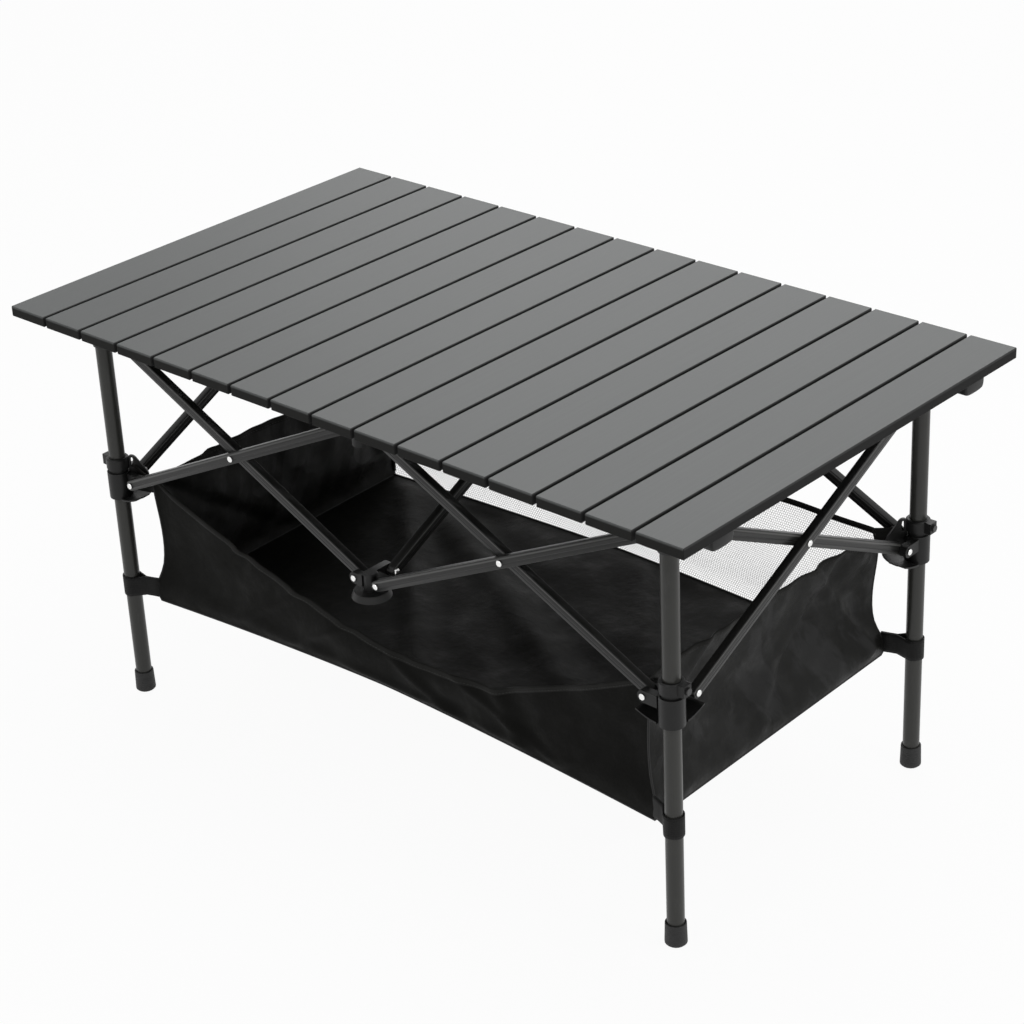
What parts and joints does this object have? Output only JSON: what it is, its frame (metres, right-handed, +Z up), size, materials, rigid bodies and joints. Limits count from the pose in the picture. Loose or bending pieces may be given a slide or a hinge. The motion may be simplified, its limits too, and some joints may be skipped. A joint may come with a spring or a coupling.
{
  "type": "folding camping table",
  "caption": "Low folding table: a roll-up slatted top on two rails, a fold-flat scissor frame on legs, and a cloth storage bag slung below.",
  "frame": {"origin": "on the floor, under the middle of the table top", "axes": "+X along the top's length, to the right in the picture; +Z up; -Y is the near long side"},
  "size_m": [0.95, 0.55, 0.5],
  "materials": {
    "top_paint": "satin dark grey powder coat",
    "frame_paint": "semi-gloss charcoal coat",
    "hub_plastic": "moulded black plastic",
    "foot_rubber": "matte black",
    "button_plastic": "satin black plastic",
    "bag_cloth": "coated black woven cloth",
    "mesh_cloth": "open black mesh cloth"
  },
  "bodies": {
    "upper_hub_near_middle": {"upper_hub_near_middle": "hub_plastic", "storage_bag": "bag_cloth", "bag_mesh_panel": "mesh_cloth"},
    "leg_near_left": {"leg_near_left": "frame_paint", "foot_near_left": "foot_rubber", "top_hub_near_left": "hub_plastic"},
    "slider_near_left": {"slider_hub_near_left": "hub_plastic"},
    "button_near_left": {"lock_button_near_left": "button_plastic"},
    "leg_near_right": {"leg_near_right": "frame_paint", "foot_near_right": "foot_rubber", "top_hub_near_right": "hub_plastic"},
    "slider_near_right": {"slider_hub_near_right": "hub_plastic"},
    "button_near_right": {"lock_button_near_right": "button_plastic"},
    "leg_far_left": {"leg_far_left": "frame_paint", "foot_far_left": "foot_rubber", "top_hub_far_left": "hub_plastic"},
    "slider_far_left": {"slider_hub_far_left": "hub_plastic"},
    "button_far_left": {"lock_button_far_left": "button_plastic"},
    "leg_far_right": {"leg_far_right": "frame_paint", "foot_far_right": "foot_rubber", "top_hub_far_right": "hub_plastic"},
    "slider_far_right": {"slider_hub_far_right": "hub_plastic"},
    "button_far_right": {"lock_button_far_right": "button_plastic"},
    "lower_hub_near_middle": {"lower_hub_near_middle": "hub_plastic"},
    "upper_hub_far_middle": {"upper_hub_far_middle": "hub_plastic"},
    "lower_hub_far_middle": {"lower_hub_far_middle": "hub_plastic"},
    "bar_near_left_rising": {"bar_near_left_rising": "frame_paint"},
    "bar_near_left_falling": {"bar_near_left_falling": "frame_paint"},
    "bar_near_right_rising": {"bar_near_right_rising": "frame_paint"},
    "bar_near_right_falling": {"bar_near_right_falling": "frame_paint"},
    "bar_far_left_rising": {"bar_far_left_rising": "frame_paint"},
    "bar_far_left_falling": {"bar_far_left_falling": "frame_paint"},
    "bar_far_right_rising": {"bar_far_right_rising": "frame_paint"},
    "bar_far_right_falling": {"bar_far_right_falling": "frame_paint"},
    "bar_left_end_rising": {"bar_left_end_rising": "frame_paint"},
    "bar_left_end_falling": {"bar_left_end_falling": "frame_paint"},
    "bar_right_end_rising": {"bar_right_end_rising": "frame_paint"},
    "bar_right_end_falling": {"bar_right_end_falling": "frame_paint"},
    "bar_middle_rising": {"bar_middle_rising": "frame_paint"},
    "bar_middle_falling": {"bar_middle_falling": "frame_paint"},
    "top": {"rail_near": "frame_paint", "rail_far": "frame_paint", "slat_01": "top_paint"},
    "slat_02": {"slat_02": "top_paint"},
    "slat_03": {"slat_03": "top_paint"},
    "slat_04": {"slat_04": "top_paint"},
    "slat_05": {"slat_05": "top_paint"},
    "slat_06": {"slat_06": "top_paint"},
    "slat_07": {"slat_07": "top_paint"},
    "slat_08": {"slat_08": "top_paint"},
    "slat_09": {"slat_09": "top_paint"},
    "slat_10": {"slat_10": "top_paint"},
    "slat_11": {"slat_11": "top_paint"},
    "slat_12": {"slat_12": "top_paint"},
    "slat_13": {"slat_13": "top_paint"},
    "slat_14": {"slat_14": "top_paint"},
    "slat_15": {"slat_15": "top_paint"},
    "slat_16": {"slat_16": "top_paint"}
  },
  "joints": [
    {"name": "frame_fold", "type": "hinge", "parent": "upper_hub_near_middle", "child": "bar_near_left_rising", "pos_m": [-0.016, -0.209, 0.457], "axis": [0, -1, 0], "range_deg": [0, 60], "deforming": ["storage_bag", "bag_mesh_panel"]},
    {"name": "fold_bar_near_left_falling", "type": "hinge", "parent": "bar_near_left_rising", "child": "bar_near_left_falling", "pos_m": [-0.196, -0.209, 0.36999], "axis": [0, 1, 0], "range_deg": [0, 120.01]},
    {"name": "fold_slider_near_left", "type": "hinge", "parent": "bar_near_left_rising", "child": "slider_near_left", "pos_m": [-0.376, -0.209, 0.28297], "axis": [0, 1, 0], "range_deg": [0, 60.01]},
    {"name": "fold_lower_hub_near_middle", "type": "hinge", "parent": "bar_near_left_falling", "child": "lower_hub_near_middle", "pos_m": [-0.016, -0.209, 0.28297], "axis": [0, -1, 0], "range_deg": [0, 60.01]},
    {"name": "fold_leg_near_left", "type": "hinge", "parent": "bar_near_left_falling", "child": "leg_near_left", "pos_m": [-0.376, -0.209, 0.457], "axis": [0, -1, 0], "range_deg": [0, 60.01]},
    {"name": "fold_bar_near_right_falling", "type": "hinge", "parent": "upper_hub_near_middle", "child": "bar_near_right_falling", "pos_m": [0.016, -0.209, 0.457], "axis": [0, 1, 0], "range_deg": [0, 60.01]},
    {"name": "fold_bar_near_right_rising", "type": "hinge", "parent": "bar_near_right_falling", "child": "bar_near_right_rising", "pos_m": [0.196, -0.209, 0.36999], "axis": [0, -1, 0], "range_deg": [0, 120.01]},
    {"name": "fold_slider_near_right", "type": "hinge", "parent": "bar_near_right_falling", "child": "slider_near_right", "pos_m": [0.376, -0.209, 0.28297], "axis": [0, -1, 0], "range_deg": [0, 60.01]},
    {"name": "fold_leg_near_right", "type": "hinge", "parent": "bar_near_right_rising", "child": "leg_near_right", "pos_m": [0.376, -0.209, 0.457], "axis": [0, 1, 0], "range_deg": [0, 60.01]},
    {"name": "fold_bar_middle_falling", "type": "hinge", "parent": "upper_hub_near_middle", "child": "bar_middle_falling", "pos_m": [0, -0.18, 0.457], "axis": [-1, 0, 0], "range_deg": [0, 60.01]},
    {"name": "fold_bar_middle_rising", "type": "hinge", "parent": "bar_middle_falling", "child": "bar_middle_rising", "pos_m": [0, 0, 0.36999], "axis": [1, 0, 0], "range_deg": [0, 120.01]},
    {"name": "fold_lower_hub_far_middle", "type": "hinge", "parent": "bar_middle_falling", "child": "lower_hub_far_middle", "pos_m": [0, 0.18, 0.28297], "axis": [1, 0, 0], "range_deg": [0, 60.01]},
    {"name": "fold_upper_hub_far_middle", "type": "hinge", "parent": "bar_middle_rising", "child": "upper_hub_far_middle", "pos_m": [0, 0.18, 0.457], "axis": [-1, 0, 0], "range_deg": [0, 60.01]},
    {"name": "fold_bar_far_left_falling", "type": "hinge", "parent": "upper_hub_far_middle", "child": "bar_far_left_falling", "pos_m": [-0.016, 0.209, 0.457], "axis": [0, -1, 0], "range_deg": [0, 60.01]},
    {"name": "fold_bar_far_left_rising", "type": "hinge", "parent": "bar_far_left_falling", "child": "bar_far_left_rising", "pos_m": [-0.196, 0.209, 0.36999], "axis": [0, 1, 0], "range_deg": [0, 120.01]},
    {"name": "fold_slider_far_left", "type": "hinge", "parent": "bar_far_left_falling", "child": "slider_far_left", "pos_m": [-0.376, 0.209, 0.28297], "axis": [0, 1, 0], "range_deg": [0, 60.01]},
    {"name": "fold_leg_far_left", "type": "hinge", "parent": "bar_far_left_rising", "child": "leg_far_left", "pos_m": [-0.376, 0.209, 0.457], "axis": [0, -1, 0], "range_deg": [0, 60.01]},
    {"name": "fold_bar_far_right_rising", "type": "hinge", "parent": "upper_hub_far_middle", "child": "bar_far_right_rising", "pos_m": [0.016, 0.209, 0.457], "axis": [0, 1, 0], "range_deg": [0, 60.01]},
    {"name": "fold_bar_far_right_falling", "type": "hinge", "parent": "bar_far_right_rising", "child": "bar_far_right_falling", "pos_m": [0.196, 0.209, 0.36999], "axis": [0, -1, 0], "range_deg": [0, 120.01]},
    {"name": "fold_slider_far_right", "type": "hinge", "parent": "bar_far_right_rising", "child": "slider_far_right", "pos_m": [0.376, 0.209, 0.28297], "axis": [0, -1, 0], "range_deg": [0, 60.01]},
    {"name": "fold_leg_far_right", "type": "hinge", "parent": "bar_far_right_falling", "child": "leg_far_right", "pos_m": [0.376, 0.209, 0.457], "axis": [0, 1, 0], "range_deg": [0, 60.01]},
    {"name": "fold_bar_left_end_rising", "type": "hinge", "parent": "leg_near_left", "child": "bar_left_end_rising", "pos_m": [-0.405, -0.18, 0.457], "axis": [-1, 0, 0], "range_deg": [0, 60.01]},
    {"name": "fold_bar_left_end_falling", "type": "hinge", "parent": "bar_left_end_rising", "child": "bar_left_end_falling", "pos_m": [-0.405, 0, 0.36999], "axis": [1, 0, 0], "range_deg": [0, 120.01]},
    {"name": "fold_bar_right_end_falling", "type": "hinge", "parent": "leg_near_right", "child": "bar_right_end_falling", "pos_m": [0.405, -0.18, 0.457], "axis": [-1, 0, 0], "range_deg": [0, 60.01]},
    {"name": "fold_bar_right_end_rising", "type": "hinge", "parent": "bar_right_end_falling", "child": "bar_right_end_rising", "pos_m": [0.405, 0, 0.36999], "axis": [1, 0, 0], "range_deg": [0, 120.01]},
    {"name": "top_lift", "type": "slide", "parent": "upper_hub_near_middle", "child": "top", "axis": [0, 0, 1], "range_m": [0, 0.1]},
    {"name": "roll_slat_02", "type": "hinge", "parent": "top", "child": "slat_02", "pos_m": [-0.41737, 0, 0.5], "axis": [0, -1, 0], "range_deg": [0, 38]},
    {"name": "roll_slat_03", "type": "hinge", "parent": "slat_02", "child": "slat_03", "pos_m": [-0.35775, 0, 0.5], "axis": [0, -1, 0], "range_deg": [0, 38.13]},
    {"name": "roll_slat_04", "type": "hinge", "parent": "slat_03", "child": "slat_04", "pos_m": [-0.29812, 0, 0.5], "axis": [0, -1, 0], "range_deg": [0, 38.53]},
    {"name": "roll_slat_05", "type": "hinge", "parent": "slat_04", "child": "slat_05", "pos_m": [-0.2385, 0, 0.5], "axis": [0, -1, 0], "range_deg": [0, 39.19]},
    {"name": "roll_slat_06", "type": "hinge", "parent": "slat_05", "child": "slat_06", "pos_m": [-0.17888, 0, 0.5], "axis": [0, -1, 0], "range_deg": [0, 40.12]},
    {"name": "roll_slat_07", "type": "hinge", "parent": "slat_06", "child": "slat_07", "pos_m": [-0.11925, 0, 0.5], "axis": [0, -1, 0], "range_deg": [0, 41.32]},
    {"name": "roll_slat_08", "type": "hinge", "parent": "slat_07", "child": "slat_08", "pos_m": [-0.05962, 0, 0.5], "axis": [0, -1, 0], "range_deg": [0, 42.78]},
    {"name": "roll_slat_09", "type": "hinge", "parent": "slat_08", "child": "slat_09", "pos_m": [0, 0, 0.5], "axis": [0, -1, 0], "range_deg": [0, 44.5]},
    {"name": "roll_slat_10", "type": "hinge", "parent": "slat_09", "child": "slat_10", "pos_m": [0.05962, 0, 0.5], "axis": [0, -1, 0], "range_deg": [0, 46.49]},
    {"name": "roll_slat_11", "type": "hinge", "parent": "slat_10", "child": "slat_11", "pos_m": [0.11925, 0, 0.5], "axis": [0, -1, 0], "range_deg": [0, 48.74]},
    {"name": "roll_slat_12", "type": "hinge", "parent": "slat_11", "child": "slat_12", "pos_m": [0.17888, 0, 0.5], "axis": [0, -1, 0], "range_deg": [0, 51.27]},
    {"name": "roll_slat_13", "type": "hinge", "parent": "slat_12", "child": "slat_13", "pos_m": [0.2385, 0, 0.5], "axis": [0, -1, 0], "range_deg": [0, 54.05]},
    {"name": "roll_slat_14", "type": "hinge", "parent": "slat_13", "child": "slat_14", "pos_m": [0.29812, 0, 0.5], "axis": [0, -1, 0], "range_deg": [0, 57.1]},
    {"name": "roll_slat_15", "type": "hinge", "parent": "slat_14", "child": "slat_15", "pos_m": [0.35775, 0, 0.5], "axis": [0, -1, 0], "range_deg": [0, 60.42]},
    {"name": "roll_slat_16", "type": "hinge", "parent": "slat_15", "child": "slat_16", "pos_m": [0.41737, 0, 0.5], "axis": [0, -1, 0], "range_deg": [0, 64]},
    {"name": "press_button_near_left", "type": "slide", "parent": "slider_near_left", "child": "button_near_left", "axis": [1, 0, 0], "range_m": [0, 0.002], "stiffness_N_per_m": 400},
    {"name": "press_button_near_right", "type": "slide", "parent": "slider_near_right", "child": "button_near_right", "axis": [-1, 0, 0], "range_m": [0, 0.002], "stiffness_N_per_m": 400},
    {"name": "press_button_far_left", "type": "slide", "parent": "slider_far_left", "child": "button_far_left", "axis": [1, 0, 0], "range_m": [0, 0.002], "stiffness_N_per_m": 400},
    {"name": "press_button_far_right", "type": "slide", "parent": "slider_far_right", "child": "button_far_right", "axis": [-1, 0, 0], "range_m": [0, 0.002], "stiffness_N_per_m": 400}
  ],
  "couplings": [
    {"joint": "fold_bar_near_left_falling", "follows": "frame_fold", "ratio": 2},
    {"joint": "fold_slider_near_left", "follows": "frame_fold", "ratio": 1},
    {"joint": "fold_lower_hub_near_middle", "follows": "frame_fold", "ratio": 1},
    {"joint": "fold_leg_near_left", "follows": "frame_fold", "ratio": 1},
    {"joint": "fold_bar_near_right_falling", "follows": "frame_fold", "ratio": 1},
    {"joint": "fold_bar_near_right_rising", "follows": "frame_fold", "ratio": 2},
    {"joint": "fold_slider_near_right", "follows": "frame_fold", "ratio": 1},
    {"joint": "fold_leg_near_right", "follows": "frame_fold", "ratio": 1},
    {"joint": "fold_bar_middle_falling", "follows": "frame_fold", "ratio": 1},
    {"joint": "fold_bar_middle_rising", "follows": "frame_fold", "ratio": 2},
    {"joint": "fold_lower_hub_far_middle", "follows": "frame_fold", "ratio": 1},
    {"joint": "fold_upper_hub_far_middle", "follows": "frame_fold", "ratio": 1},
    {"joint": "fold_bar_far_left_falling", "follows": "frame_fold", "ratio": 1},
    {"joint": "fold_bar_far_left_rising", "follows": "frame_fold", "ratio": 2},
    {"joint": "fold_slider_far_left", "follows": "frame_fold", "ratio": 1},
    {"joint": "fold_leg_far_left", "follows": "frame_fold", "ratio": 1},
    {"joint": "fold_bar_far_right_rising", "follows": "frame_fold", "ratio": 1},
    {"joint": "fold_bar_far_right_falling", "follows": "frame_fold", "ratio": 2},
    {"joint": "fold_slider_far_right", "follows": "frame_fold", "ratio": 1},
    {"joint": "fold_leg_far_right", "follows": "frame_fold", "ratio": 1},
    {"joint": "fold_bar_left_end_rising", "follows": "frame_fold", "ratio": 1},
    {"joint": "fold_bar_left_end_falling", "follows": "frame_fold", "ratio": 2},
    {"joint": "fold_bar_right_end_falling", "follows": "frame_fold", "ratio": 1},
    {"joint": "fold_bar_right_end_rising", "follows": "frame_fold", "ratio": 2}
  ]
}
